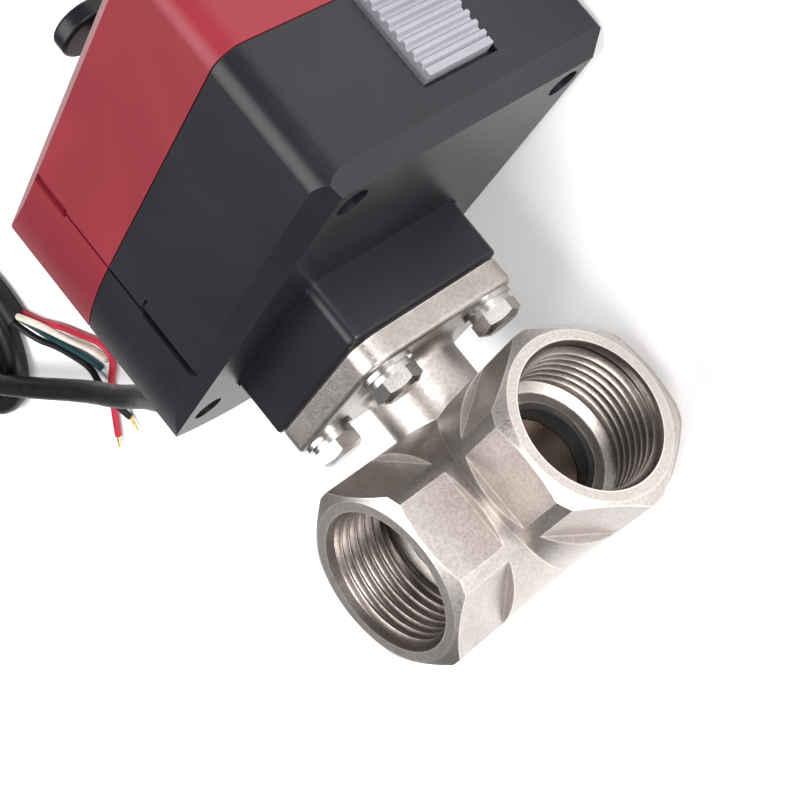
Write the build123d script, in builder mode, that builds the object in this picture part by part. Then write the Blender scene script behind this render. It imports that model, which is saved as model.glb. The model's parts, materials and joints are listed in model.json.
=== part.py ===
"""Motorized three-way ball valve: a geared electric actuator on a brass valve with a tee body.

Millimetres, +Z up. The part lies on one side of its actuator housing. The valve stem points along +X
towards the actuator, the cable leaves along +Y, and the origin is the centre of the bounding box's base.
"""
from build123d import *
from math import cos, sin, tan, pi, radians, sqrt, atan2
import os

os.makedirs("parts", exist_ok=True)

# ---- driving dimensions --------------------------------------------------------------------------
# Heights are measured along the stem from the valve's centre, where the three port axes cross.

# valve
port_reach = 30.7            # port face to valve centre
thread_r = 13.22             # G 3/4 female thread, major radius
thread_depth = 15.0
face_ring_r = 15.1           # flat turned ring around each mouth
hex_flat_r = 15.7            # half the width across the flats
barrel_r = 17.4              # round body, and the turned radius over the hexagons' corners
branch_r = 17.35             # the same for port A's barrel
hex_length = 12.0
ball_r = 13.5
ball_bore_r = 8.7
ball_gap = 0.08              # ball to seat
neck_r = 9.35
neck_fillet = 2.5
flange_half = 18.3
flange_corner = 4.5
flange_edge = 1.0
flange_bottom = 27.2
flange_top = 32.5
bolt_half = 12.73            # ISO 5211 F03, four holes on a 36 mm circle
bolt_r = 2.5
head_flats_r = 4.0
head_height = 3.1
head_end_r = 3.06            # flat end of the head, inside its chamfer
spring_washer_r = 4.1
spring_washer_thick = 1.1
flat_washer_r = 4.9
flat_washer_thick = 0.9
stem_r = 4.5

# actuator housing
house_half = 32.3
house_front = -55.7
house_bottom = 44.3
seam = 70.2
house_top = 93.7
bevel = 3.2
wall = 2.6
back_corner = (28.7, 28.0)
back_apex = 35.0
groove_y = 4.0
screw_spots = [(24.7, -48.0), (-24.7, -48.0), (23.7, 21.4), (-23.7, 21.4)]
corner_left = 4.5
corner_right = 1.4
pedestal_half = 18.2
pedestal_corner = 2.0
pedestal_edge = 0.9

# release slide on the front
slide_x = 1.9
slide_half = 7.3
slide_proud = 1.6
slide_low = 52.7
slide_high = 86.0
slide_travel = 2.0
recess_gap = 1.0
recess_depth = 1.4
rib_pitch = 2.0
rib_height = 0.8

# knob
handle_half = 13.5
handle_end_r = 6.3
handle_low = 108.3
handle_high = 112.0
hub_r = 5.9

# drive train
lower_plate = 50.2
upper_plate = 66.0
plate_thick = 1.5
shaft_r = 5.0
output_teeth = 60
second_teeth = 44
first_teeth = 48
pinion_teeth = 14
output_module = 0.7
second_module = 0.5
first_module = 0.4
backlash = 0.12

# cable
cable_r = 3.0
lead_r = 0.95
gland_height = 57.0
gland_end = 52.0

# ---- frame ---------------------------------------------------------------------------------------
stem_x = -(handle_high - barrel_r) / 2
stem_y = -(gland_end + house_front - slide_proud) / 2
stem_z = house_half
centre = Vector(stem_x, stem_y, stem_z)

STEM = Plane(origin=centre, x_dir=(0, 0, -1), z_dir=(1, 0, 0))
PORT_A = Plane(origin=centre, x_dir=(1, 0, 0), z_dir=(0, -1, 0))
PORT_B = Plane(origin=centre, x_dir=(1, 0, 0), z_dir=(0, 0, 1))
PORT_C = Plane(origin=centre, x_dir=(1, 0, 0), z_dir=(0, 0, -1))
FRONT = Plane(origin=centre, x_dir=(0, 0, -1), z_dir=(0, -1, 0))
SIDE = Plane(origin=centre, x_dir=(0, 1, 0), z_dir=(0, 0, -1))


def save(part, label):
    part.label = label
    export_step(part, f"parts/{label}.step")


def disc(radius, low, high, mode=Mode.ADD, spots=((0, 0),)):
    """Round post or hole along the stem's direction."""
    with BuildSketch(STEM.offset(low)) as profile:
        with Locations(*spots):
            Circle(radius)
    extrude(profile.sketch, amount=high - low, mode=mode)


def block(x_low, x_high, y_low, y_high, low, high, mode=Mode.ADD):
    """Straight-sided block between two heights."""
    with BuildSketch(STEM.offset(low)) as profile:
        with Locations(((x_low + x_high) / 2, (y_low + y_high) / 2)):
            Rectangle(x_high - x_low, y_high - y_low)
    extrude(profile.sketch, amount=high - low, mode=mode)


def section_plane(port):
    """Plane through a port's axis: x is the radius, y runs out along the axis."""
    return Plane(origin=centre, x_dir=port.x_dir, z_dir=port.x_dir.cross(port.z_dir))


def turned(port, points, mode):
    """Solid of revolution about a port's axis from (radius, distance out) points."""
    with BuildSketch(section_plane(port)) as profile:
        with BuildLine():
            Polyline(*points, close=True)
        make_face()
    revolve(profile.sketch, axis=Axis(centre, port.z_dir), mode=mode)


# ---- valve ---------------------------------------------------------------------------------------
hex_start = port_reach - hex_length
seat_inner_r = 8.9
seat_outer_r = 11.2
seat_back = 13.9
seat_step = 0.7
seat_step_r = 9.7
counterbore_r = 11.6
seat_miter = 0.1             # gap between neighbouring seats, whose fronts meet on 45 degree cones
cavity_r = ball_r + 0.7
end_bore_r = 13.65
end_face = 17.5
end_land_r = 15.4            # wide end of the bore that takes the end piece
end_land_start = 14.9
end_gap = 0.1                # end piece to body
spigot_start = 11.5
spigot_play = 0.03
stem_bore_r = stem_r + 0.05
collar_r = 6.5
collar_low = 14.4
collar_high = 16.6
washer_high = 17.6
packing_low = 22.0
packing_high = 27.5
packing_r = 7.0
gland_nut_low = 32.8
gland_nut_high = 34.4
stem_shoulder = 34.6
stem_high = 40.3
tang_half = 2.0
tang_low = 11.4
stem_square = 3.0


def hex_end(port, start, corner_r):
    """Hexagonal end with turned corners and a flat face ring."""
    with BuildSketch(port.offset(start)) as profile:
        RegularPolygon(radius=hex_flat_r, side_count=6, major_radius=False)
        Circle(corner_r, mode=Mode.INTERSECT)
    extrude(profile.sketch, amount=port_reach - start)
    far = corner_r + 1
    face_drop = (far - face_ring_r) * tan(radians(30))
    turned(port, [(face_ring_r, port_reach), (far, port_reach), (far, port_reach - face_drop)],
           Mode.SUBTRACT)


def barrel(port, radius, start, end, mode=Mode.ADD):
    """Round bar or bore along a port's axis."""
    with BuildSketch(port.offset(start)) as profile:
        Circle(radius)
    extrude(profile.sketch, amount=end - start, mode=mode)


def port_bores(port):
    """Thread bore, smooth counterbore, step and seat pocket of one port."""
    thread_end = port_reach - thread_depth
    step_top = seat_back + seat_step
    pocket_r = seat_outer_r + spigot_play
    turned(port, [(0, 0), (0, port_reach + 1), (thread_r, port_reach + 1), (thread_r, thread_end),
                  (counterbore_r, thread_end - 0.9), (counterbore_r, step_top), (seat_step_r, step_top),
                  (seat_step_r, seat_back), (pocket_r, seat_back), (pocket_r, 0)],
           Mode.SUBTRACT)


with BuildPart() as valve_body:
    disc(neck_r, 8.0, flange_bottom)
    with BuildSketch(STEM.offset(flange_bottom)):
        RectangleRounded(2 * flange_half, 2 * flange_half, flange_corner)
    extrude(amount=flange_top - flange_bottom)
    flange_side = faces().filter_by(Axis.X).sort_by(Axis.X)
    chamfer(flange_side[-1].outer_wire().edges(), 0.5)
    fillet(faces().filter_by(Axis.X).sort_by(Axis.X)[-2].outer_wire().edges(), flange_edge)
    fillet(edges().filter_by(GeomType.CIRCLE).filter_by_position(
        Axis.X, stem_x + flange_bottom - 0.01, stem_x + flange_bottom + 0.01).sort_by(SortBy.RADIUS)[-1:],
        neck_fillet)
    barrel(PORT_B, barrel_r, -end_face, hex_start)
    barrel(PORT_A, branch_r, 0, hex_start)
    hex_end(PORT_A, hex_start, branch_r)
    hex_end(PORT_B, hex_start, barrel_r)
    port_bores(PORT_A)
    port_bores(PORT_B)
    with Locations(centre):
        Sphere(cavity_r, mode=Mode.SUBTRACT)
    barrel(PORT_C, end_bore_r, 0, end_face, Mode.SUBTRACT)
    barrel(PORT_C, end_land_r, end_land_start, end_face, Mode.SUBTRACT)
    disc(collar_r + 0.3, 11.0, washer_high, Mode.SUBTRACT)
    disc(stem_bore_r, washer_high, packing_low, Mode.SUBTRACT)
    disc(packing_r + 0.03, packing_low, flange_top + 1, Mode.SUBTRACT)
    with BuildSketch(STEM.offset(flange_bottom - 1)):
        with GridLocations(2 * bolt_half, 2 * bolt_half, 2, 2):
            Circle(bolt_r + 0.25)
    extrude(amount=flange_top - flange_bottom + 2, mode=Mode.SUBTRACT)
save(valve_body.part, "valve_body")

with BuildPart() as end_piece:
    barrel(PORT_C, barrel_r, end_face + end_gap, hex_start)
    hex_end(PORT_C, hex_start, barrel_r)
    barrel(PORT_C, end_bore_r - spigot_play, spigot_start, end_land_start + end_gap)
    barrel(PORT_C, end_land_r - spigot_play, end_land_start + end_gap, end_face + 0.6)
    port_bores(PORT_C)
    with Locations(centre):
        Sphere(cavity_r, mode=Mode.SUBTRACT)
save(end_piece.part, "end_piece")

with BuildPart() as ball:
    with Locations(centre):
        Sphere(ball_r)
    for port in (PORT_A, PORT_B):
        with BuildSketch(port):
            Circle(ball_bore_r)
        extrude(amount=ball_r + 1, mode=Mode.SUBTRACT)
    with Locations(centre):
        Sphere(ball_bore_r, mode=Mode.SUBTRACT)
    block(-2.1, 2.1, -8.0, 8.0, 11.2, 15.0, Mode.SUBTRACT)
save(ball.part, "ball")

for port, letter in ((PORT_A, "a"), (PORT_B, "b"), (PORT_C, "c")):
    with BuildPart() as seat:
        turned(port, [(seat_inner_r, seat_back), (seat_outer_r, seat_back),
                      (seat_outer_r, seat_outer_r + seat_miter), (seat_inner_r, seat_inner_r + seat_miter)],
               Mode.ADD)
        with Locations(centre):
            Sphere(ball_r + ball_gap, mode=Mode.SUBTRACT)
    save(seat.part, f"seat_{letter}")

with BuildPart() as valve_stem:
    disc(stem_r, collar_high, stem_shoulder)
    disc(collar_r, collar_low, collar_high)
    block(-tang_half, tang_half, -stem_r, stem_r, tang_low, collar_low)
    block(-stem_square, stem_square, -stem_square, stem_square, stem_shoulder, stem_high)
save(valve_stem.part, "valve_stem")

with BuildPart() as stem_washer:
    disc(collar_r + 0.2, collar_high + 0.05, washer_high)
    disc(stem_bore_r, collar_high, washer_high, Mode.SUBTRACT)
save(stem_washer.part, "stem_washer")

with BuildPart() as stem_packing:
    disc(packing_r, packing_low, packing_high)
    disc(stem_bore_r, packing_low, packing_high, Mode.SUBTRACT)
save(stem_packing.part, "stem_packing")

with BuildPart() as gland_nut:
    disc(packing_r, packing_high, gland_nut_low)
    with BuildSketch(STEM.offset(gland_nut_low)):
        RegularPolygon(radius=packing_r, side_count=6, major_radius=False)
    extrude(amount=gland_nut_high - gland_nut_low)
    disc(stem_bore_r, packing_high, gland_nut_high, Mode.SUBTRACT)
save(gland_nut.part, "gland_nut")

# ---- flange fasteners ----------------------------------------------------------------------------
spring_low = flange_bottom - flat_washer_thick - spring_washer_thick
head_low = spring_low - head_height
shank_length = 17.0
chamfer_far = 5.2
bolt_turns = {(-bolt_half, -bolt_half): 30, (bolt_half, -bolt_half): 30, (-bolt_half, bolt_half): 0,
              (bolt_half, bolt_half): 0}

with BuildPart() as bolt:
    with BuildSketch():
        RegularPolygon(radius=head_flats_r, side_count=6, major_radius=False)
    extrude(amount=head_height)
    with BuildSketch(Plane.XZ):
        with BuildLine():
            Polyline((head_end_r, 0), (chamfer_far, 0),
                     (chamfer_far, (chamfer_far - head_end_r) * tan(radians(30))), close=True)
        make_face()
    revolve(axis=Axis.Z, mode=Mode.SUBTRACT)
    with BuildSketch(Plane.XY.offset(head_height)):
        Circle(bolt_r)
    extrude(amount=shank_length)

with BuildPart() as flange_bolts:
    for (x, y), turn in bolt_turns.items():
        with Locations(STEM.offset(head_low)):
            with Locations(Location((x, y, 0), (0, 0, turn))):
                add(bolt.part)
save(flange_bolts.part, "flange_bolts")

with BuildPart() as spring_washers:
    with BuildSketch(STEM.offset(spring_low)):
        with GridLocations(2 * bolt_half, 2 * bolt_half, 2, 2):
            Circle(spring_washer_r)
            Circle(bolt_r + 0.1, mode=Mode.SUBTRACT)
        with GridLocations(2 * bolt_half, 2 * bolt_half, 2, 2):
            with Locations((spring_washer_r - 1, 0)):
                Rectangle(3.0, 0.5, mode=Mode.SUBTRACT)
    extrude(amount=spring_washer_thick)
save(spring_washers.part, "spring_washers")

with BuildPart() as flat_washers:
    with BuildSketch(STEM.offset(flange_bottom - flat_washer_thick)):
        with GridLocations(2 * bolt_half, 2 * bolt_half, 2, 2):
            Circle(flat_washer_r)
            Circle(bolt_r + 0.15, mode=Mode.SUBTRACT)
    extrude(amount=flat_washer_thick)
save(flat_washers.part, "flat_washers")

# ---- pedestal and drive coupling -----------------------------------------------------------------
pedestal_bore_r = 10.4
pedestal_screw_ring = 14.3
square_clearance = 0.05
rim_proud = 0.35
rim_high = 0.6
insert_depth = 10.4
coupling_r = 7.6
coupling_low = 34.9
coupling_step = 40.6
coupling_high = 44.0
shaft_square = 3.5

with BuildPart() as pedestal:
    with BuildSketch(STEM.offset(flange_top)):
        RectangleRounded(2 * pedestal_half, 2 * pedestal_half, pedestal_corner)
    extrude(amount=house_bottom - flange_top)
    fillet(faces().filter_by(Axis.X).sort_by(Axis.X)[0].outer_wire().edges(), pedestal_edge)
    with BuildSketch(STEM.offset(house_bottom - rim_high)):
        RectangleRounded(2 * (pedestal_half + rim_proud), 2 * (pedestal_half + rim_proud),
                         pedestal_corner + rim_proud)
    extrude(amount=rim_high)
    disc(pedestal_bore_r, flange_top, house_bottom, Mode.SUBTRACT)
    with BuildSketch(STEM.offset(flange_top)):
        with GridLocations(2 * bolt_half, 2 * bolt_half, 2, 2):
            Circle(bolt_r + 0.05)
    extrude(amount=insert_depth, mode=Mode.SUBTRACT)
    with BuildSketch(STEM.offset(house_bottom)):
        with PolarLocations(pedestal_screw_ring, 4):
            Circle(1.65)
    extrude(amount=-9.0, mode=Mode.SUBTRACT)
save(pedestal.part, "pedestal")

stem_socket = stem_square + square_clearance
shaft_socket = shaft_square + square_clearance

with BuildPart() as drive_coupling:
    disc(coupling_r, coupling_low, coupling_high)
    block(-stem_socket, stem_socket, -stem_socket, stem_socket, coupling_low, coupling_step,
          Mode.SUBTRACT)
    block(-shaft_socket, shaft_socket, -shaft_socket, shaft_socket, coupling_step, coupling_high,
          Mode.SUBTRACT)
save(drive_coupling.part, "drive_coupling")

# ---- housing -------------------------------------------------------------------------------------
gasket = 0.3
base_top = seam - gasket / 2
cover_low = seam + gasket / 2
floor_top = house_bottom + 2.7
ceiling = house_top - wall
boss_r = 4.9
screw_hole_r = 2.9
screw_head_low = 58.0
cover_hole_r = 5.6
pillar_spots = [(21.5, 12.3), (-21.5, 12.3), (22.0, -38.0), (-22.0, -38.0)]
slot_half = 4.0
recess_half = slide_half + recess_gap
slot_low = 57.0
slot_high = 84.0
deep_groove = 1.1
shallow_groove = 0.7
gland_hole_r = 5.0


def house_profile(height, inset=0.0):
    """Housing outline: straight front and sides, and a back that curves in to a shallow bow."""
    with BuildSketch(STEM.offset(height)) as profile:
        with BuildLine():
            Line((house_half, groove_y), (house_half, house_front))
            Line((house_half, house_front), (-house_half, house_front))
            Line((-house_half, house_front), (-house_half, groove_y))
            TangentArc((-house_half, groove_y), (-back_corner[0], back_corner[1]), tangent=(0, 1))
            ThreePointArc((-back_corner[0], back_corner[1]), (0, back_apex), back_corner)
            TangentArc((house_half, groove_y), back_corner, tangent=(0, 1))
        make_face()
        front = vertices().group_by(Axis.Y)[0].sort_by(Axis.X)
        if inset:
            fillet(front, corner_left)
            offset(amount=-inset)
        else:
            fillet(front[0], corner_left)
            fillet(vertices().group_by(Axis.Y)[0].sort_by(Axis.X)[-1], corner_right)
    return profile.sketch


def cut_bevels(edge, inward):
    """Cut the 45 degree bevels along both sides and the front at the housing's rim."""
    for side in (1, -1):
        with BuildSketch(FRONT.offset(-40)) as profile:
            with BuildLine():
                Polyline((side * (house_half - bevel), edge), (side * (house_half + 1), edge),
                         (side * (house_half + 1), edge + inward * (bevel + 1)), close=True)
            make_face()
        extrude(profile.sketch, amount=100, mode=Mode.SUBTRACT)
    with BuildSketch(SIDE.offset(-40)) as profile:
        with BuildLine():
            Polyline((house_front + bevel, edge), (house_front - 1, edge),
                     (house_front - 1, edge + inward * (bevel + 1)), close=True)
        make_face()
    extrude(profile.sketch, amount=80, mode=Mode.SUBTRACT)


def cut_side_groove(low, high, half_width, depth, rounded=False):
    """Upright groove in both side walls, with a round lower end where it is asked for."""
    for side in (1, -1):
        with BuildSketch(SIDE.offset(side * (house_half - depth))) as profile:
            with Locations((groove_y, (low + high) / 2)):
                Rectangle(2 * half_width, high - low)
            if rounded:
                with Locations((groove_y, low)):
                    Circle(half_width)
        extrude(profile.sketch, amount=side * 3, mode=Mode.SUBTRACT)


with BuildPart() as base_housing:
    extrude(house_profile(house_bottom), amount=base_top - house_bottom)
    cut_bevels(house_bottom, 1)
    extrude(house_profile(floor_top, wall), amount=seam, mode=Mode.SUBTRACT)
    disc(boss_r, floor_top - 0.5, base_top, spots=screw_spots)
    disc(3.6, floor_top - 0.5, lower_plate, spots=pillar_spots)
    extrude(house_profile(house_bottom - 1), amount=80, mode=Mode.INTERSECT)
    disc(screw_hole_r, house_bottom - 1, screw_head_low + 2.5, Mode.SUBTRACT, screw_spots)
    disc(1.6, screw_head_low, seam, Mode.SUBTRACT, screw_spots)
    disc(1.2, floor_top - 1.0, lower_plate + 1, Mode.SUBTRACT, pillar_spots)
    disc(7.53, house_bottom - 1, floor_top + 1, Mode.SUBTRACT)
    with BuildSketch(STEM.offset(house_bottom - 1)) as screw_holes:
        with PolarLocations(pedestal_screw_ring, 4):
            Circle(1.75)
    extrude(screw_holes.sketch, amount=5, mode=Mode.SUBTRACT)
    block(slide_x - slot_half, slide_x + slot_half, house_front - 1, house_front + wall + 1, slot_low, seam,
          Mode.SUBTRACT)
    block(slide_x - recess_half, slide_x + recess_half, house_front - 1, house_front + recess_depth,
          slide_low - recess_gap, seam, Mode.SUBTRACT)
    cut_side_groove(60.6, seam + 1, 0.4, shallow_groove)
    cut_side_groove(46.8, 60.6, 1.0, deep_groove, rounded=True)
    for side in (1, -1):
        with BuildSketch(SIDE.offset(side * (house_half - shallow_groove))) as nick:
            with Locations((groove_y - 1.6, 61.0)):
                Rectangle(3.4, 0.8)
        extrude(nick.sketch, amount=side * 3, mode=Mode.SUBTRACT)
    with BuildSketch(FRONT.offset(-back_apex - 2)) as cable_hole:
        with Locations((0, gland_height)):
            Circle(gland_hole_r)
    extrude(cable_hole.sketch, amount=8, mode=Mode.SUBTRACT)
save(base_housing.part, "base_housing")

with BuildPart() as cover:
    extrude(house_profile(cover_low), amount=house_top - cover_low)
    cut_bevels(house_top, -1)
    extrude(house_profile(cover_low - 1, wall), amount=ceiling - cover_low + 1, mode=Mode.SUBTRACT)
    disc(boss_r, cover_low, ceiling + 0.5, spots=screw_spots)
    extrude(house_profile(cover_low - 1), amount=60, mode=Mode.INTERSECT)
    disc(1.4, cover_low - 1, cover_low + 14, Mode.SUBTRACT, screw_spots)
    disc(11.0, house_top - 0.5, house_top + 2.6)
    disc(cover_hole_r, ceiling - 1, house_top + 4, Mode.SUBTRACT)
    disc(8.05, ceiling - 1, house_top + 0.2, Mode.SUBTRACT)
    block(slide_x - slot_half, slide_x + slot_half, house_front - 1, house_front + wall + 1,
          cover_low - 1, slot_high, Mode.SUBTRACT)
    block(slide_x - recess_half, slide_x + recess_half, house_front - 1, house_front + recess_depth,
          cover_low - 1, slide_high + slide_travel + 0.2, Mode.SUBTRACT)
    cut_side_groove(seam - 1, 82.0, 0.4, shallow_groove)
    cut_side_groove(82.0, house_top - bevel, 1.3, deep_groove)
save(cover.part, "cover")

with BuildPart() as cover_gasket:
    extrude(house_profile(base_top, 0.5), amount=gasket)
    extrude(house_profile(base_top - 1, wall - 0.2), amount=3, mode=Mode.SUBTRACT)
    block(slide_x - slot_half - 0.5, slide_x + slot_half + 0.5, house_front - 1, house_front + wall + 1,
          seam - 1, seam + 1, Mode.SUBTRACT)
    block(slide_x - recess_half, slide_x + recess_half, house_front - 1, house_front + recess_depth,
          seam - 1, seam + 1, Mode.SUBTRACT)
save(cover_gasket.part, "cover_gasket")

with BuildPart() as cover_screws:
    disc(2.7, screw_head_low + 0.5, screw_head_low + 2.5, spots=screw_spots)
    disc(1.35, screw_head_low + 2.5, cover_low + 12, spots=screw_spots)
    with BuildSketch(STEM.offset(screw_head_low)) as recesses:
        with Locations(*screw_spots):
            Rectangle(3.4, 0.8)
            Rectangle(0.8, 3.4)
    extrude(recesses.sketch, amount=1.4, mode=Mode.SUBTRACT)
save(cover_screws.part, "cover_screws")

# ---- release slide -------------------------------------------------------------------------------
slide_back = house_front + recess_depth - 0.2
rib_root = house_front - slide_proud + rib_height
rib_tip = house_front - slide_proud
rib_count = int((slide_high - slide_low - 2.2) / rib_pitch)
first_rib = slide_low + 2.2
rib_root_half = 0.8
rib_tip_half = 0.3
tongue_half = slot_half - 0.15
tongue_low = 60.0
tongue_high = 79.0
hook_half = 6.4
hook_start = house_front + wall + 0.2

with BuildPart() as release_slide:
    block(slide_x - slide_half, slide_x + slide_half, rib_root, slide_back, slide_low, slide_high)
    block(slide_x - slide_half, slide_x + slide_half, rib_tip + 0.25, rib_root, slide_low, slide_low + 1.2)
    with BuildSketch(SIDE.offset(slide_x - slide_half)) as ribs:
        for number in range(rib_count):
            middle = first_rib + number * rib_pitch
            with BuildLine():
                Polyline((rib_root + 0.1, middle - rib_root_half), (rib_tip, middle - rib_tip_half),
                         (rib_tip, middle + rib_tip_half), (rib_root + 0.1, middle + rib_root_half),
                         close=True)
            make_face()
    extrude(ribs.sketch, amount=2 * slide_half)
    block(slide_x - tongue_half, slide_x + tongue_half, slide_back, hook_start, tongue_low, tongue_high)
    block(slide_x - hook_half, slide_x + hook_half, hook_start, hook_start + 1.3, tongue_low - 1,
          tongue_high + 1)
save(release_slide.part, "release_slide")

# ---- knob ----------------------------------------------------------------------------------------
knob_bore_r = 4.0
hub_low = house_top + 3.4
knob_bore_high = 107.0
head_recess = 1.6
screw_head_r = 2.7
screw_shank_r = 1.5
cross_depth = 0.9

with BuildPart() as knob:
    with BuildSketch(STEM.offset(handle_low)):
        SlotOverall(2 * handle_half, 2 * handle_end_r)
    extrude(amount=handle_high - handle_low)
    fillet(edges().group_by(Axis.X)[0] + edges().group_by(Axis.X)[-1], 0.8)
    disc(hub_r, hub_low, handle_low + 0.5)
    disc(knob_bore_r + 0.02, hub_low - 1, knob_bore_high, Mode.SUBTRACT)
    disc(screw_shank_r + 0.1, knob_bore_high - 1, handle_high + 1, Mode.SUBTRACT)
    disc(screw_head_r + 0.2, handle_high - head_recess, handle_high + 1, Mode.SUBTRACT)
save(knob.part, "knob")

with BuildPart() as knob_screw:
    disc(screw_head_r, handle_high - head_recess, handle_high - 0.3)
    disc(screw_shank_r, 103.0, handle_high - head_recess)
    block(-0.4, 0.4, -2.0, 2.0, handle_high - cross_depth, handle_high, Mode.SUBTRACT)
    block(-2.0, 2.0, -0.4, 0.4, handle_high - cross_depth, handle_high, Mode.SUBTRACT)
save(knob_screw.part, "knob_screw")

with BuildPart() as shaft_seal:
    disc(8.0, ceiling + 0.4, house_top)
    disc(shaft_r + 0.05, ceiling, house_top + 1, Mode.SUBTRACT)
save(shaft_seal.part, "shaft_seal")

# ---- gear train ----------------------------------------------------------------------------------
second_spacing = (output_teeth + pinion_teeth) * output_module / 2
first_spacing = (second_teeth + pinion_teeth) * second_module / 2
motor_spacing = (first_teeth + pinion_teeth) * first_module / 2
second_direction = 235.0
first_direction = -35.0
motor_direction = -12.0
pressure_angle = 20.0
arbor_r = 1.5
arbor_play = 0.05
spacer_r = 2.6
gears_low = 51.9
gears_high = 65.8
output_low = 52.5
output_high = 57.5
output_hub_high = 60.5
second_low = 58.6
second_high = 61.1
first_pinion_low = 58.2
first_low = 62.0
first_high = 64.0
motor_pinion_low = 61.7
motor_pinion_high = 65.0
motor_shaft_r = 1.0
rotor_r = 6.0
rotor_low = 72.0
rotor_high = 82.0
motor_shaft_high = 85.0


def beyond(spot, distance, direction):
    """Point at a distance from a spot, in a direction in degrees."""
    return (spot[0] + distance * cos(radians(direction)), spot[1] + distance * sin(radians(direction)))


second_spot = beyond((0, 0), second_spacing, second_direction)
first_spot = beyond(second_spot, first_spacing, first_direction)
motor_spot = beyond(first_spot, motor_spacing, motor_direction)


def involute_angle(radius, base):
    """Angle in radians that an involute has turned through at a radius."""
    slope = sqrt(max(radius ** 2 / base ** 2 - 1, 0))
    return slope - atan2(slope, 1)


def gear(teeth, module, spot, low, high, tooth_direction):
    """Spur gear with involute teeth, one of them centred on a direction in degrees."""
    pitch = teeth * module / 2
    base = pitch * cos(radians(pressure_angle))
    tip = pitch + 0.85 * module
    root = pitch - 1.15 * module
    half_tooth = (pi / 2 - backlash) / teeth + involute_angle(pitch, base)
    start = max(base, root)
    radii = [start + (tip - start) * step / 4 for step in range(5)]
    flank = [(radius, half_tooth - involute_angle(radius, base)) for radius in radii]
    corners = []
    for number in range(teeth):
        middle = radians(tooth_direction) + 2 * pi * number / teeth
        corners.append((root, middle - half_tooth))
        corners += [(radius, middle - angle) for radius, angle in flank]
        corners += [(radius, middle + angle) for radius, angle in reversed(flank)]
        corners.append((root, middle + half_tooth))
    with BuildSketch(STEM.offset(low)) as profile:
        with BuildLine():
            Polyline(*[(spot[0] + radius * cos(angle), spot[1] + radius * sin(angle))
                       for radius, angle in corners], close=True)
        make_face()
    extrude(profile.sketch, amount=high - low)


with BuildPart() as output_gear:
    gear(output_teeth, output_module, (0, 0), output_low, output_high, second_direction)
    disc(8.0, output_low, output_hub_high)
    disc(shaft_r + 0.01, output_low - 1, output_hub_high + 1, Mode.SUBTRACT)
    with BuildSketch(STEM.offset(output_low - 1)) as lightening:
        with PolarLocations(13.8, 6):
            Circle(3.2)
    extrude(lightening.sketch, amount=output_high - output_low + 2, mode=Mode.SUBTRACT)
save(output_gear.part, "output_gear")

with BuildPart() as second_gear:
    gear(pinion_teeth, output_module, second_spot, gears_low, second_low,
         second_direction + 180 + 180 / pinion_teeth)
    gear(second_teeth, second_module, second_spot, second_low, second_high, first_direction)
    disc(spacer_r, second_high, gears_high, spots=[second_spot])
    disc(arbor_r + arbor_play, gears_low - 1, gears_high + 1, Mode.SUBTRACT, [second_spot])
save(second_gear.part, "second_gear")

with BuildPart() as first_gear:
    disc(spacer_r, gears_low, first_pinion_low, spots=[first_spot])
    gear(pinion_teeth, second_module, first_spot, first_pinion_low, first_low,
         first_direction + 180 + 180 / pinion_teeth)
    gear(first_teeth, first_module, first_spot, first_low, first_high, motor_direction)
    disc(spacer_r, first_high, gears_high, spots=[first_spot])
    disc(arbor_r + arbor_play, gears_low - 1, gears_high + 1, Mode.SUBTRACT, [first_spot])
save(first_gear.part, "first_gear")

with BuildPart() as motor_pinion:
    gear(pinion_teeth, first_module, motor_spot, motor_pinion_low, motor_pinion_high,
         motor_direction + 180 + 180 / pinion_teeth)
    disc(motor_shaft_r + 0.01, motor_pinion_low - 1, motor_pinion_high + 1, Mode.SUBTRACT, [motor_spot])
save(motor_pinion.part, "motor_pinion")

with BuildPart() as motor_shaft:
    disc(motor_shaft_r, motor_pinion_low, rotor_low, spots=[motor_spot])
    disc(rotor_r, rotor_low, rotor_high, spots=[motor_spot])
    disc(motor_shaft_r, rotor_high, motor_shaft_high, spots=[motor_spot])
save(motor_shaft.part, "motor_shaft")

with BuildPart() as output_shaft:
    block(-shaft_square, shaft_square, -shaft_square, shaft_square, coupling_step + 0.2, 45.0)
    disc(shaft_r, 45.0, house_top + 3.2)
    disc(knob_bore_r, house_top + 3.2, knob_bore_high - 0.2)
    disc(screw_shank_r + 0.02, 102.5, knob_bore_high + 1, Mode.SUBTRACT)
save(output_shaft.part, "output_shaft")

# ---- gear frame ----------------------------------------------------------------------------------
plate_half = 26.5
plate_front = -42.0
plate_back = 15.6
bush_r = 7.5

with BuildPart() as lower_bush:
    disc(bush_r, house_bottom + 0.5, lower_plate + plate_thick)
    disc(shaft_r + 0.04, house_bottom, lower_plate + plate_thick + 1, Mode.SUBTRACT)
save(lower_bush.part, "lower_bush")

with BuildPart() as upper_bush:
    disc(bush_r, upper_plate - 0.8, upper_plate + plate_thick + 1.2)
    disc(shaft_r + 0.04, upper_plate - 1, upper_plate + plate_thick + 2, Mode.SUBTRACT)
save(upper_bush.part, "upper_bush")

for height, label in ((lower_plate, "lower_plate"), (upper_plate, "upper_plate")):
    with BuildPart() as plate:
        block(-plate_half, plate_half, plate_front, plate_back, height, height + plate_thick)
        disc(bush_r + 0.02, height - 1, height + plate_thick + 1, Mode.SUBTRACT)
        disc(arbor_r, height - 1, height + plate_thick + 1, Mode.SUBTRACT, [second_spot, first_spot])
        disc(1.3, height - 1, height + plate_thick + 1, Mode.SUBTRACT, pillar_spots)
        if label == "upper_plate":
            disc(1.4, height - 1, height + plate_thick + 1, Mode.SUBTRACT, [motor_spot])
    save(plate.part, label)

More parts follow.
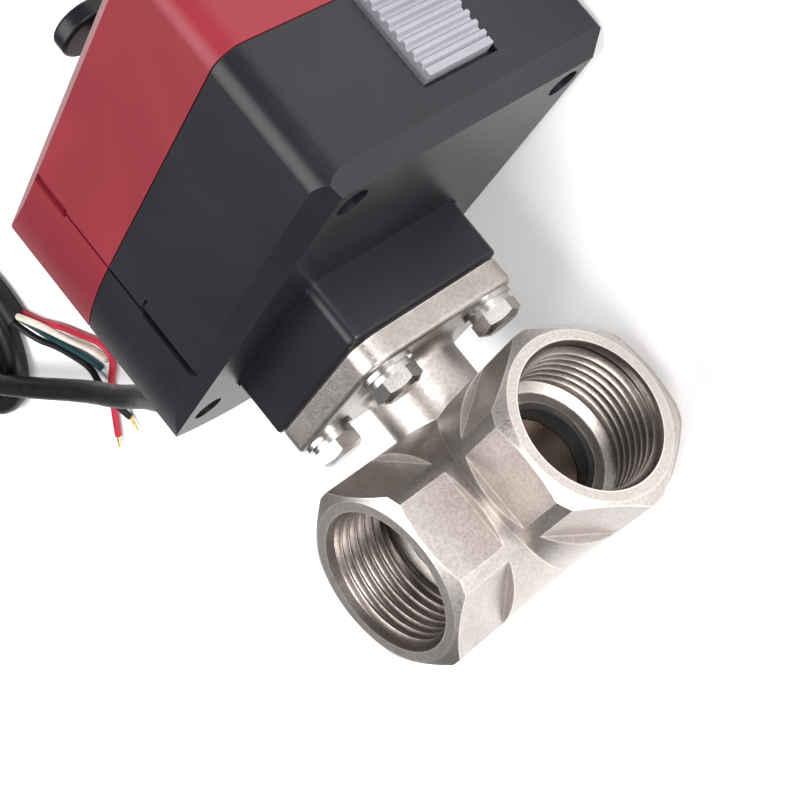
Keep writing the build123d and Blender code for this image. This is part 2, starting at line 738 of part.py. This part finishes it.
with BuildPart() as plate_pillars:
    disc(2.3, lower_plate + plate_thick, upper_plate, spots=pillar_spots)
    disc(1.15, floor_top - 0.5, lower_plate + plate_thick, spots=pillar_spots)
    disc(1.15, upper_plate, upper_plate + plate_thick + 0.2, spots=pillar_spots)
save(plate_pillars.part, "plate_pillars")

with BuildPart() as plate_screws:
    disc(2.2, upper_plate + plate_thick + 0.2, upper_plate + plate_thick + 1.8, spots=pillar_spots)
    with BuildSketch(STEM.offset(upper_plate + plate_thick + 1.0)) as recesses:
        with Locations(*pillar_spots):
            Rectangle(3.0, 0.6)
    extrude(recesses.sketch, amount=2, mode=Mode.SUBTRACT)
save(plate_screws.part, "plate_screws")

with BuildPart() as gear_arbors:
    disc(arbor_r, lower_plate, upper_plate + plate_thick, spots=[second_spot, first_spot])
save(gear_arbors.part, "gear_arbors")

with BuildPart() as pedestal_screws:
    with BuildSketch(STEM.offset(floor_top)) as heads:
        with PolarLocations(pedestal_screw_ring, 4):
            Circle(3.0)
    extrude(heads.sketch, amount=2.0)
    with BuildSketch(STEM.offset(floor_top)) as shanks:
        with PolarLocations(pedestal_screw_ring, 4):
            Circle(1.6)
    extrude(shanks.sketch, amount=-10.0)
save(pedestal_screws.part, "pedestal_screws")

# ---- motor, cams, switches and board -------------------------------------------------------------
motor_low = upper_plate + plate_thick
motor_high = 87.0
motor_r = 11.0
cam_base_r = 8.0
cam_lobe_r = 10.3
switch_near = 12.0
switch_far = 22.2
switch_half = 9.9
switch_thick = 6.4
switch_low = 69.2
switch_gap = 0.8
tab_reach = 3.2
board_x = -25.8
board_low = 68.0
board_high = 88.0
board_thick = 1.6
board_face = board_x + board_thick
terminal_low = 76.0
terminal_high = 86.0
terminal_deep = 7.8
capacitor_r = 4.5
capacitor_high = 84.0

with BuildPart() as motor_can:
    disc(motor_r, motor_low, motor_high, spots=[motor_spot])
    disc(3.0, motor_high, motor_high + 1.6, spots=[motor_spot])
    disc(6.6, 71.4, 82.6, Mode.SUBTRACT, [motor_spot])
    disc(1.05, motor_low - 1, 86.0, Mode.SUBTRACT, [motor_spot])
save(motor_can.part, "motor_can")

cam_thick = 4.0
cam_lobe_angle = 70.0

for start, label, low in ((20.0, "lower_cam", 70.4), (110.0, "upper_cam", 77.6)):
    with BuildPart() as cam:
        disc(cam_base_r, low, low + cam_thick)
        with BuildSketch(STEM.offset(low)) as lobe:
            with BuildLine():
                CenterArc((0, 0), cam_lobe_r, start, cam_lobe_angle)
                Line(beyond((0, 0), cam_lobe_r, start), (0, 0))
                Line(beyond((0, 0), cam_lobe_r, start + cam_lobe_angle), (0, 0))
            make_face()
        extrude(lobe.sketch, amount=cam_thick)
        disc(shaft_r + 0.01, low - 1, low + cam_thick + 1, Mode.SUBTRACT)
    save(cam.part, label)

switch_lows = (switch_low, switch_low + switch_thick + switch_gap)
screw_pair = [(19.6, 4.75), (19.6, -4.75)]

for label, low in zip(("lower_switch", "upper_switch"), switch_lows):
    with BuildPart() as limit_switch:
        block(switch_near, switch_far, -switch_half, switch_half, low, low + switch_thick)
        block(switch_near - 1.0, switch_near, -4.5, -3.0, low + 2.4, low + 4.0)
        disc(1.15, low - 1, low + switch_thick + 1, Mode.SUBTRACT, screw_pair)
    save(limit_switch.part, label)

with BuildPart() as switch_tabs:
    for low in switch_lows:
        for y in (-7.5, 0.0, 7.5):
            block(switch_far, switch_far + tab_reach, y - 1.5, y + 1.5, low + 3.0, low + 3.5)
save(switch_tabs.part, "switch_tabs")

with BuildPart() as switch_screws:
    stack_top = switch_lows[1] + switch_thick
    disc(1.1, upper_plate + plate_thick, stack_top, spots=screw_pair)
    disc(2.1, stack_top, stack_top + 1.4, spots=screw_pair)
save(switch_screws.part, "switch_screws")

with BuildPart() as circuit_board:
    block(board_x, board_face, -40.0, 9.0, board_low, board_high)
    block(board_x, board_face, -34.0, -28.0, motor_low, board_low)
    block(board_x, board_face, -4.0, 2.0, motor_low, board_low)
save(circuit_board.part, "circuit_board")

with BuildPart() as terminal_block:
    block(board_face, board_face + terminal_deep, -12.0, 8.0, terminal_low, terminal_high)
    with BuildSketch(STEM.offset(terminal_high)) as screw_wells:
        with Locations((board_face + 3.6, -2.0)):
            with GridLocations(1.0, 5.0, 1, 4):
                Circle(1.7)
    extrude(screw_wells.sketch, amount=-2.0, mode=Mode.SUBTRACT)
save(terminal_block.part, "terminal_block")

with BuildPart() as capacitor:
    disc(capacitor_r, motor_low + 0.3, capacitor_high, spots=[(board_face + capacitor_r + 0.7, -30.0)])
save(capacitor.part, "capacitor")

# ---- cable ---------------------------------------------------------------------------------------
# Route points are (distance back from the stem, height along the stem, height above the floor).
cable_route = [(gland_end, gland_height, stem_z), (60, 57, stem_z), (72, 59.5, 31), (88, 66, 25.5),
               (103, 71.2, 18.7), (120, 78.6, 15.5), (137, 88.2, 12), (166, 105.6, 11.4), (194, 123, 9.8),
               (203, 130, 5.5)]
coil_spot = (190.0, 136.5)
coil_first_r = 13.0
coil_pitch = 6.1
coil_start = 302.0
coil_end = 1244.0
tail_route = [(162.2, 144.5, cable_r), (160.8, 136, cable_r), (160.5, 129, cable_r), (162, 122, cable_r)]
lead_routes = {
    "lead_red": [(160.6, 122.8, 1.1), (157.2, 117.9, 0.95), (152.8, 113.9, 0.95), (147.3, 109.3, 0.95),
                 (142.2, 103.4, 0.95), (136.6, 97.5, 0.95), (136.4, 92, 0.95), (145.6, 89.6, 0.95),
                 (153.2, 84.8, 0.95), (160.6, 79.8, 0.95)],
    "lead_white": [(160.4, 122.8, 3.4), (155, 116.8, 3.1), (150.6, 110.3, 2.4), (147, 104.5, 1.6),
                   (142.9, 99.2, 0.95), (139.6, 93.6, 0.95)],
    "lead_green": [(162.7, 123.2, 1.9), (159.8, 116.6, 0.95), (155.4, 110.2, 0.95),
                   (150.8, 103.9, 0.95), (146.6, 97.7, 0.95), (145, 94, 0.95)],
    "lead_black": [(162.7, 123.2, 4.1), (163, 115.6, 1.9), (157.3, 109, 0.95), (152.7, 102.6, 0.95),
                   (148.6, 96.4, 1.2), (147.6, 90.5, 3), (147.6, 85, 2.9), (148.9, 79.6, 0.95)],
}


def in_frame(route):
    """Route points in the part's own frame."""
    return [Vector(stem_x + along, stem_y + back, height) for back, along, height in route]


def bend_radii(points):
    """Radius of the arc at each corner, from its shorter run and its turn."""
    radii = []
    for before, corner, after in zip(points, points[1:], points[2:]):
        turn = (corner - before).get_angle(after - corner)
        shorter = min((corner - before).length, (after - corner).length)
        radii.append(0.45 * shorter / tan(radians(turn / 2)))
    return radii


def cord(route, radius, label):
    """Plain round tube along a route, with an arc at each corner."""
    points = in_frame(route)
    radii = bend_radii(points)
    with BuildPart() as tube:
        with BuildLine() as path:
            FilletPolyline(*points, radius=radii)
        with BuildSketch(Plane(origin=path.line @ 0, z_dir=path.line % 0)):
            Circle(radius)
        sweep()
    length = path.wire().length
    share = tube.part.volume / (pi * radius ** 2 * length)
    print(label, "length", round(length, 1), "volume share", round(share, 4),
          "radii", [round(value, 1) for value in radii])
    save(tube.part, label)


with BuildPart() as cable_gland:
    with BuildSketch(Plane(origin=centre + Vector(gland_height, 0, 0), x_dir=(1, 0, 0), z_dir=(0, 0, 1))):
        with BuildLine():
            Polyline((0, 30.4), (6.6, 30.4), (6.6, 31.8), (gland_hole_r - 0.1, 31.8),
                     (gland_hole_r - 0.1, 35.1), (7.6, 35.1), (7.6, 37.6), (5.6, 38.4),
                     (4.3, gland_end), (0, gland_end), close=True)
        make_face()
    revolve(axis=Axis(centre + Vector(gland_height, 0, 0), (0, 1, 0)))
save(cable_gland.part, "cable_gland")

cord(cable_route, cable_r, "cable_run")
cord(tail_route, cable_r, "cable_tail")
for label, route in lead_routes.items():
    cord(route, lead_r, label)

coil_centre = in_frame([(coil_spot[0], coil_spot[1], 0)])[0]
coil_outer_r = coil_first_r + coil_pitch * (coil_end - coil_start) / 360 + cable_r

with BuildPart() as cable_coil:
    with BuildSketch(Plane.XY):
        with Locations((coil_centre.X, coil_centre.Y)):
            Circle(coil_outer_r)
            Circle(coil_first_r - cable_r, mode=Mode.SUBTRACT)
    extrude(amount=2 * cable_r)
save(cable_coil.part, "cable_coil")
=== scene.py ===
"""Motorized three-way ball valve: looks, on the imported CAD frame. Metres."""
import bpy
import json
from math import cos, sin, pi, radians
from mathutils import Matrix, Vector


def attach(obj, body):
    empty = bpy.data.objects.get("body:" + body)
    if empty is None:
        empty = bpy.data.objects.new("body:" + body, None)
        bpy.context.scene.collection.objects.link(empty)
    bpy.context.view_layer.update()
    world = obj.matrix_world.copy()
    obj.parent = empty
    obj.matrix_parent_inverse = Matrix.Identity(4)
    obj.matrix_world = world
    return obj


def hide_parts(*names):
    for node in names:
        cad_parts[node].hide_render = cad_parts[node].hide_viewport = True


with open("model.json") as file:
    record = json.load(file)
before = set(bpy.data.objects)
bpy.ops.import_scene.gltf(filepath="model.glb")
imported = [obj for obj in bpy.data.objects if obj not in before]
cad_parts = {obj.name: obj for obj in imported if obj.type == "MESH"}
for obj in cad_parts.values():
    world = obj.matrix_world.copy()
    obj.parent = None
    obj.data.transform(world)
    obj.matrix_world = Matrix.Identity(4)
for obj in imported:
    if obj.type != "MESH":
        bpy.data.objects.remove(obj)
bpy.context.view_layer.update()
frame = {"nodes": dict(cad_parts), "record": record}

mm = 0.001
mounts = {mount["name"]: mount for mount in frame["record"]["mounts"]}
stem = Vector((mounts["port_b"]["pos_m"][0], mounts["port_b"]["pos_m"][1], mounts["port_a"]["pos_m"][2]))


# ---- camera --------------------------------------------------------------------------------------
def make_camera():
    data = bpy.data.cameras.new("camera")
    data.lens = 74.03
    data.sensor_width = 36.0
    data.shift_x = 0.0135
    data.shift_y = 0.0079
    camera = bpy.data.objects.new("camera", data)
    camera.location = stem + Vector((-0.00715, -0.22868, 0.17120))
    camera.rotation_euler = [radians(turn) for turn in (-38.608, 42.307, -147.469)]
    bpy.context.collection.objects.link(camera)
    bpy.context.scene.camera = camera


make_camera()

# ---- cable and leads -----------------------------------------------------------------------------
# Route points are (distance back from the stem, height along the stem, height above the floor), in mm.
# The coil's turns are angles in degrees. A lead at height lead_r lies on the floor.
cable_d = 6.0
cable_r = cable_d / 2
lead_d = 1.9
lead_r = lead_d / 2
cable_route = [(52, 57, 32.3), (60, 57, 32.3), (72, 59.5, 31), (88, 66, 25.5), (103, 71.2, 18.7),
               (120, 78.6, 15.5), (137, 88.2, 12), (166, 105.6, 11.4), (194, 123, 9.8)]
coil_spot = (190.0, 136.5)
coil_first_r = 13.0
coil_pitch = 6.1
coil_start = 302
coil_end = 1244
coil_step = 23
hump_height = 5.5
hump_turn = 140
tail_route = [(160.8, 136, cable_r), (160.5, 129, cable_r), (162, 122, cable_r)]
lead_routes = {
    "red": [(160.6, 122.8, 1.1), (157.2, 117.9, lead_r), (152.8, 113.9, lead_r), (147.3, 109.3, lead_r),
            (142.2, 103.4, lead_r), (136.6, 97.5, lead_r), (136.4, 92, lead_r), (145.6, 89.6, lead_r),
            (153.2, 84.8, lead_r), (160.6, 79.8, lead_r)],
    "white": [(160.4, 122.8, 3.4), (155, 116.8, 3.1), (150.6, 110.3, 2.4), (147, 104.5, 1.6),
              (142.9, 99.2, lead_r), (139.6, 93.6, lead_r)],
    "green": [(162.7, 123.2, 1.9), (159.8, 116.6, lead_r), (155.4, 110.2, lead_r), (150.8, 103.9, lead_r),
              (146.6, 97.7, lead_r), (145, 94, lead_r)],
    "black": [(162.7, 123.2, 4.1), (163, 115.6, 1.9), (157.3, 109, lead_r), (152.7, 102.6, lead_r),
              (148.6, 96.4, 1.2), (147.6, 90.5, 3), (147.6, 85, 2.9), (148.9, 79.6, lead_r)],
}


def in_frame(point):
    """A route point in the row frame, in metres."""
    back, along, height = point
    return Vector((stem.x + along * mm, stem.y + back * mm, height * mm))


def coil_points():
    """The coil's turns: a flat spiral that first comes down off the hump."""
    points = []
    for turn in range(coil_start, coil_end + 1, coil_step):
        radius = coil_first_r + coil_pitch * (turn - coil_start) / 360
        height = cable_r + hump_height * max(0.0, 1 - (turn - coil_start) / hump_turn)
        points.append((coil_spot[0] + radius * cos(radians(turn)),
                       coil_spot[1] + radius * sin(radians(turn)), height))
    return points


def cord_curve(name, route, diameter):
    """A smooth round cord along a route."""
    data = bpy.data.curves.new(name, "CURVE")
    data.dimensions = "3D"
    data.bevel_depth = 1.0
    data.bevel_resolution = 6
    data.resolution_u = 8
    data.use_fill_caps = True
    spline = data.splines.new("NURBS")
    spline.points.add(len(route) - 1)
    for point, place in zip(spline.points, route):
        point.co = (*in_frame(place), 1)
        point.radius = diameter * mm / 2
    spline.order_u = 3
    spline.use_endpoint_u = True
    curve = bpy.data.objects.new(name, data)
    bpy.context.collection.objects.link(curve)
    return curve


def make_cords():
    cords = {}
    sheath = cord_curve("sheathed_cable", cable_route + coil_points() + tail_route, cable_d)
    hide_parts("cable_run", "cable_coil", "cable_tail")
    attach(sheath, "housing")
    cords["cable_sheath"] = sheath
    for colour, route in lead_routes.items():
        lead = cord_curve(f"{colour}_lead", route, lead_d)
        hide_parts(f"lead_{colour}")
        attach(lead, "housing")
        cords[f"lead_{colour}"] = lead
    return cords


cords = make_cords()


# ---- material tools ------------------------------------------------------------------------------
class Surface:
    """A material's node tree, with short calls for its usual nodes."""

    def __init__(self, name, colour, metallic=0.0, roughness=0.5, **sockets):
        self.material = bpy.data.materials.new(name)
        self.material.use_nodes = True
        self.tree = self.material.node_tree
        self.shader = self.tree.nodes["Principled BSDF"]
        self.shader.inputs["Base Color"].default_value = (*colour, 1)
        self.shader.inputs["Metallic"].default_value = metallic
        self.shader.inputs["Roughness"].default_value = roughness
        for socket, value in sockets.items():
            self.shader.inputs[socket.replace("_", " ")].default_value = value
        self.place = self.tree.nodes.new("ShaderNodeTexCoord").outputs["Object"]

    def node(self, kind, **inputs):
        made = self.tree.nodes.new(kind)
        for socket, value in inputs.items():
            self.feed(made.inputs[socket.replace("_", " ")], value)
        return made

    def feed(self, socket, value):
        if isinstance(value, bpy.types.NodeSocket):
            self.tree.links.new(value, socket)
        else:
            socket.default_value = value

    def noise(self, size, detail=3.0, distortion=0.0):
        """Noise from 0 to 1 whose grain is about size metres across."""
        made = self.node("ShaderNodeTexNoise", Vector=self.place, Scale=1 / size, Detail=detail,
                         Distortion=distortion)
        return made.outputs["Fac"]

    def maths(self, operation, *values):
        made = self.tree.nodes.new("ShaderNodeMath")
        made.operation = operation
        for socket, value in zip(made.inputs, values):
            self.feed(socket, value)
        return made.outputs[0]

    def span(self, value, low, high, out_low, out_high):
        """Maps value from low..high to out_low..out_high, and holds it there."""
        made = self.node("ShaderNodeMapRange", Value=value)
        for socket, number in zip(made.inputs[1:5], (low, high, out_low, out_high)):
            self.feed(socket, number)
        return made.outputs["Result"]

    def blend(self, share, first, second):
        made = self.tree.nodes.new("ShaderNodeMix")
        made.data_type = "RGBA"
        self.feed(made.inputs["Factor"], share)
        for socket, value in ((made.inputs[6], first), (made.inputs[7], second)):
            self.feed(socket, (*value, 1) if isinstance(value, tuple) else value)
        return made.outputs[2]

    def colour(self, value):
        self.feed(self.shader.inputs["Base Color"], value)

    def rough(self, value):
        self.feed(self.shader.inputs["Roughness"], value)

    def bump(self, *layers):
        """Stacks bumps of (height, strength, distance)."""
        normal = None
        for height, strength, distance in layers:
            made = self.node("ShaderNodeBump", Height=height, Strength=strength, Distance=distance)
            if normal:
                self.feed(made.inputs["Normal"], normal)
            normal = made.outputs["Normal"]
        self.feed(self.shader.inputs["Normal"], normal)

    def edges(self, radius):
        """1 on sharp edges, 0 on flats."""
        bevel = self.node("ShaderNodeBevel", Radius=radius)
        bevel.samples = 4
        plain = self.tree.nodes.new("ShaderNodeNewGeometry").outputs["Normal"]
        dot = self.tree.nodes.new("ShaderNodeVectorMath")
        dot.operation = "DOT_PRODUCT"
        self.feed(dot.inputs[0], bevel.outputs["Normal"])
        self.feed(dot.inputs[1], plain)
        return self.span(dot.outputs["Value"], 0.995, 0.93, 0.0, 1.0)


# ---- materials -----------------------------------------------------------------------------------
# Pale nickel for sharp edges: partly rubbed wear, partly a painted edge highlight.
worn_and_highlit_nickel = (0.80, 0.77, 0.74)


def moulded_plastic(name, colour, light, roughness, grain):
    """Injection-moulded plastic: fine grain, faint flow shading, and sharp edges painted lighter, partly
    as rubbed wear and partly as a painted highlight.
    """
    surface = Surface(name, colour, roughness=roughness, Specular_IOR_Level=0.27)
    flow = surface.noise(22 * mm, 2.0, 0.6)
    tint = surface.blend(surface.span(flow, 0.3, 0.7, 0.0, 0.35), colour, light)
    # Sharp edges are half-mixed toward the lighter colour: partly rubbed wear, partly a painted
    # highlight.
    worn_and_highlit_edges = surface.maths("MULTIPLY", surface.edges(0.35 * mm), 0.5)
    surface.colour(surface.blend(worn_and_highlit_edges, tint, light))
    fine = surface.noise(grain, 4.0)
    surface.rough(surface.span(fine, 0.25, 0.75, roughness - 0.06, roughness + 0.07))
    surface.bump((surface.noise(9 * mm, 1.0), 0.10, 0.15 * mm), (fine, 0.22, 0.03 * mm))
    return surface.material


def blasted_nickel(name, light, dark):
    """Bead-blasted nickel plate: fine sparkle, soft casting waves, and sharp edges painted brighter,
    partly as rubbed wear and partly as a painted highlight.
    """
    surface = Surface(name, light, metallic=1.0, roughness=0.36)
    blast = surface.noise(0.30 * mm, 3.0)
    speck = surface.span(surface.noise(0.55 * mm, 2.0), 0.38, 0.66, 0.0, 0.45)
    waves = surface.noise(5 * mm, 2.0, 0.4)
    stain = surface.span(surface.noise(11 * mm, 4.0, 1.0), 0.35, 0.75, 0.0, 0.6)
    tint = surface.blend(stain, light, dark)
    edge = surface.edges(0.5 * mm)
    grainy = surface.blend(speck, tint, tuple(part * 0.8 for part in dark))
    # Sharp edges are mixed toward pale nickel: partly rubbed wear, partly a painted highlight.
    surface.colour(surface.blend(surface.maths("MULTIPLY", edge, 0.7), grainy, worn_and_highlit_nickel))
    surface.rough(surface.span(blast, 0.3, 0.7, 0.32, 0.48))
    surface.bump((waves, 0.30, 0.25 * mm), (blast, 0.55, 0.06 * mm))
    return surface.material


def turned_metal(name, colour, roughness):
    """Machined metal with fine tool marks."""
    surface = Surface(name, colour, metallic=1.0, roughness=roughness)
    fine = surface.noise(0.16 * mm, 2.0)
    stain = surface.span(surface.noise(4 * mm, 3.0), 0.35, 0.7, 0.0, 1.0)
    dark = tuple(part * 0.78 for part in colour)
    surface.colour(surface.blend(surface.maths("MULTIPLY", stain, 0.5), colour, dark))
    surface.rough(surface.span(fine, 0.3, 0.7, roughness - 0.06, roughness + 0.08))
    surface.bump((fine, 0.15, 0.02 * mm))
    return surface.material


def soft_sheath(name, colour, roughness):
    """Cable sheath or seal: satin polymer with faint smears."""
    surface = Surface(name, colour, roughness=roughness, Specular_IOR_Level=0.25)
    smear = surface.noise(6 * mm, 3.0, 0.8)
    light = tuple(min(1.0, part * 1.5 + 0.003) for part in colour)
    surface.colour(surface.blend(surface.span(smear, 0.35, 0.7, 0.0, 0.6), colour, light))
    surface.rough(surface.span(smear, 0.3, 0.7, roughness - 0.06, roughness + 0.08))
    surface.bump((surface.noise(0.3 * mm, 2.0), 0.12, 0.02 * mm))
    return surface.material


finishes = {
    "red_plastic": moulded_plastic("red_plastic", (0.17, 0.011, 0.019), (0.26, 0.03, 0.04),
                                   0.40, 0.16 * mm),
    "black_plastic": moulded_plastic("black_plastic", (0.007, 0.0066, 0.009), (0.020, 0.019, 0.024),
                                     0.34, 0.16 * mm),
    "grey_plastic": moulded_plastic("grey_plastic", (0.20, 0.20, 0.225), (0.36, 0.36, 0.39),
                                    0.42, 0.2 * mm),
    "nickel_brass": blasted_nickel("nickel_brass", (0.49, 0.445, 0.42), (0.34, 0.30, 0.275)),
    # The plain nickel darkened as painted shade, for the threads deep in the port bores.
    "thread_painted_shade": blasted_nickel("thread_painted_shade", (0.27, 0.225, 0.20), (0.15, 0.12, 0.105)),
    "raw_brass": turned_metal("raw_brass", (0.72, 0.50, 0.22), 0.30),
    "steel": turned_metal("steel", (0.38, 0.36, 0.345), 0.30),
    "dark_steel": turned_metal("dark_steel", (0.45, 0.43, 0.42), 0.34),
    # The ball's chrome is darkened to brown as painted shade, for its place inside the dark bore.
    "ball_chrome": turned_metal("ball_chrome", (0.30, 0.24, 0.21), 0.30),
    "white_polymer": soft_sheath("white_polymer", (0.80, 0.80, 0.76), 0.45),
    "black_seat": soft_sheath("black_seat", (0.02, 0.02, 0.02), 0.42),
    "rubber": soft_sheath("rubber", (0.015, 0.015, 0.015), 0.60),
    "gear_polymer": soft_sheath("gear_polymer", (0.76, 0.73, 0.66), 0.45),
    "board_green": soft_sheath("board_green", (0.02, 0.16, 0.06), 0.35),
    "switch_black": soft_sheath("switch_black", (0.02, 0.02, 0.024), 0.45),
    "terminal_green": soft_sheath("terminal_green", (0.03, 0.28, 0.10), 0.45),
    "capacitor_sleeve": soft_sheath("capacitor_sleeve", (0.02, 0.03, 0.16), 0.30),
    "cable_sheath": soft_sheath("cable_sheath", (0.0025, 0.0025, 0.003), 0.42),
    "lead_red": soft_sheath("lead_red", (0.36, 0.020, 0.040), 0.42),
    "lead_white": soft_sheath("lead_white", (0.62, 0.56, 0.49), 0.45),
    "lead_green": soft_sheath("lead_green", (0.008, 0.035, 0.045), 0.42),
    "lead_black": soft_sheath("lead_black", (0.008, 0.008, 0.008), 0.42),
}


def finish_nodes():
    """Gives every CAD node the finish of its slot."""
    for part in frame["record"]["subparts"]:
        node = frame["nodes"][part["node"]]
        node.data.materials.clear()
        node.data.materials.append(finishes[part["material_slot"]])
    for slot, cord in cords.items():
        cord.data.materials.append(finishes[slot])


finish_nodes()


# ---- pipe threads --------------------------------------------------------------------------------
thread_pitch = 1.814 * mm
thread_crest_r = 12.15 * mm
thread_gap = 0.02 * mm
thread_start = 0.2 * mm
thread_short = 1.3
thread_section = [(0.0, 0.0), (0.07, 0.0), (0.40, 0.92), (0.44, 1.0), (0.56, 1.0), (0.60, 0.92),
                  (0.93, 0.0), (1.0, 0.0)]
steps_per_turn = 96
fade_steps = 40


def make_thread(name, mount, body):
    """Helical ridge standing in a port's bore, running out at both ends.

    The section's pairs are (share of the pitch, share of the ridge's height). The thread is thread_short
    turns shorter than its bore.
    """
    axis = Vector(mount["axis"])
    across = Vector((1, 0, 0))
    up = axis.cross(across)
    root_r = mount["dims"]["r_mm"] * mm
    length = mount["dims"]["length_mm"] * mm
    start = Vector(mount["pos_m"]) - axis * (length / 2)
    turns = length / thread_pitch - thread_short
    count = int(turns * steps_per_turn)
    points, faces = [], []
    for step in range(count + 1):
        angle = 2 * pi * step / steps_per_turn
        fade = min(1.0, step / fade_steps, (count - step) / fade_steps)
        for share, height in thread_section:
            radius = root_r - thread_gap - (root_r - thread_crest_r) * height * fade
            along = (step / steps_per_turn + share) * thread_pitch + thread_start
            points.append(start + axis * along + radius * (cos(angle) * across + sin(angle) * up))
    width = len(thread_section)
    for step in range(count):
        for place in range(width - 1):
            corner = step * width + place
            faces.append((corner, corner + 1, corner + width + 1, corner + width))
    mesh = bpy.data.meshes.new(name)
    mesh.from_pydata(points, [], faces)
    mesh.shade_smooth()
    thread = bpy.data.objects.new(name, mesh)
    bpy.context.collection.objects.link(thread)
    # The thread takes the darkened nickel: painted shade for its place deep in the bore.
    mesh.materials.append(finishes["thread_painted_shade"])
    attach(thread, body)


for letter in "abc":
    make_thread(f"thread_{letter}", mounts[f"port_{letter}"], "housing")


# ---- small pieces on the cable -------------------------------------------------------------------
tip_length = 4.0
tip_rings = 12
relief_start = 39.5
relief_end = 50.5
relief_rings = 6
relief_section = [(0.0, 0.05), (0.15, 0.75), (0.3, 0.95), (0.5, 0.95), (0.65, 0.75), (0.8, 0.05)]


def turned_piece(name, start, along, profile, slot, sides=40):
    """Surface of revolution from (distance along, radius) pairs in metres, on the housing."""
    side = along.orthogonal().normalized()
    up = along.cross(side)
    points = []
    for distance, radius in profile:
        for step in range(sides):
            angle = 2 * pi * step / sides
            points.append(start + along * distance + radius * (cos(angle) * side + sin(angle) * up))
    faces = []
    for ring in range(len(profile) - 1):
        for step in range(sides):
            after = (step + 1) % sides
            faces.append((ring * sides + step, ring * sides + after, (ring + 1) * sides + after,
                          (ring + 1) * sides + step))
    faces.append(tuple(reversed(range(sides))))
    faces.append(tuple(range((len(profile) - 1) * sides, len(profile) * sides)))
    mesh = bpy.data.meshes.new(name)
    mesh.from_pydata(points, [], faces)
    mesh.materials.append(finishes[slot])
    piece = bpy.data.objects.new(name, mesh)
    bpy.context.collection.objects.link(piece)
    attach(piece, "housing")


def make_strain_relief():
    """Soft ribs round the gland's nose, smaller towards the cable.

    The section's pairs are (share of a ring's length, height of its rib in mm).
    """
    start = in_frame((relief_start, cable_route[0][1], cable_route[0][2]))
    pitch = (relief_end - relief_start) / relief_rings
    profile = []
    for ring in range(relief_rings):
        base = ring * pitch
        core = (5.6 - 1.1 * ring / relief_rings) * mm
        for share, extra in relief_section:
            profile.append(((base + share * pitch) * mm, core + extra * mm))
    turned_piece("strain_relief_ribs", start, Vector((0, 1, 0)), profile, "rubber")


def make_lead_tips():
    """Bare strands, as one ridged rod, standing out of the two longer leads."""
    for colour in ("red", "black"):
        end, before = (in_frame(place) for place in reversed(lead_routes[colour][-2:]))
        along = (end - before).normalized()
        along.z = 0
        profile = [(-0.5 * mm, 0.5 * mm)]
        for step in range(1, tip_rings + 1):
            distance = tip_length * step / tip_rings
            profile.append((distance * mm, (0.56 + 0.05 * (step % 2) - 0.02 * step) * mm))
        turned_piece(f"{colour}_lead_tip", end, along.normalized(), profile, "raw_brass", 18)


make_strain_relief()
make_lead_tips()


# ---- floor and light -----------------------------------------------------------------------------
light_aim = Vector((0, 0, 0.03))


def make_floor():
    size = 6.0
    mesh = bpy.data.meshes.new("floor")
    mesh.from_pydata([(-size, -size, 0), (size, -size, 0), (size, size, 0), (-size, size, 0)], [],
                     [(0, 1, 2, 3)])
    floor = bpy.data.objects.new("floor", mesh)
    floor.location.z = -0.0002
    surface = Surface("floor", (0.93, 0.93, 0.93), roughness=0.8)
    mesh.materials.append(surface.material)
    bpy.context.collection.objects.link(floor)


def make_light(name, place, size, power):
    data = bpy.data.lights.new(name, "AREA")
    data.shape = "RECTANGLE"
    data.size, data.size_y = size
    data.energy = power
    light = bpy.data.objects.new(name, data)
    light.location = place
    light.rotation_euler = (light_aim - Vector(place)).to_track_quat("-Z", "Y").to_euler()
    bpy.context.collection.objects.link(light)


def make_world():
    world = bpy.data.worlds.new("world")
    world.use_nodes = True
    sky = world.node_tree.nodes["Background"]
    sky.inputs["Color"].default_value = (0.9, 0.93, 1.0, 1)
    sky.inputs["Strength"].default_value = 0.16
    bpy.context.scene.world = world


def set_tone():
    """Plain product-photo tones: white floor, deep blacks."""
    tone = bpy.context.scene.view_settings
    tone.view_transform = "Standard"
    tone.look = "None"


make_floor()
set_tone()
make_light("front_key", (-0.30, -0.80, 0.34), (0.5, 0.4), 12)
make_light("left_fill", (-0.85, 0.05, 0.40), (0.35, 0.5), 5)
make_light("overhead", (0.25, 0.15, 1.2), (1.1, 1.1), 22)
make_world()
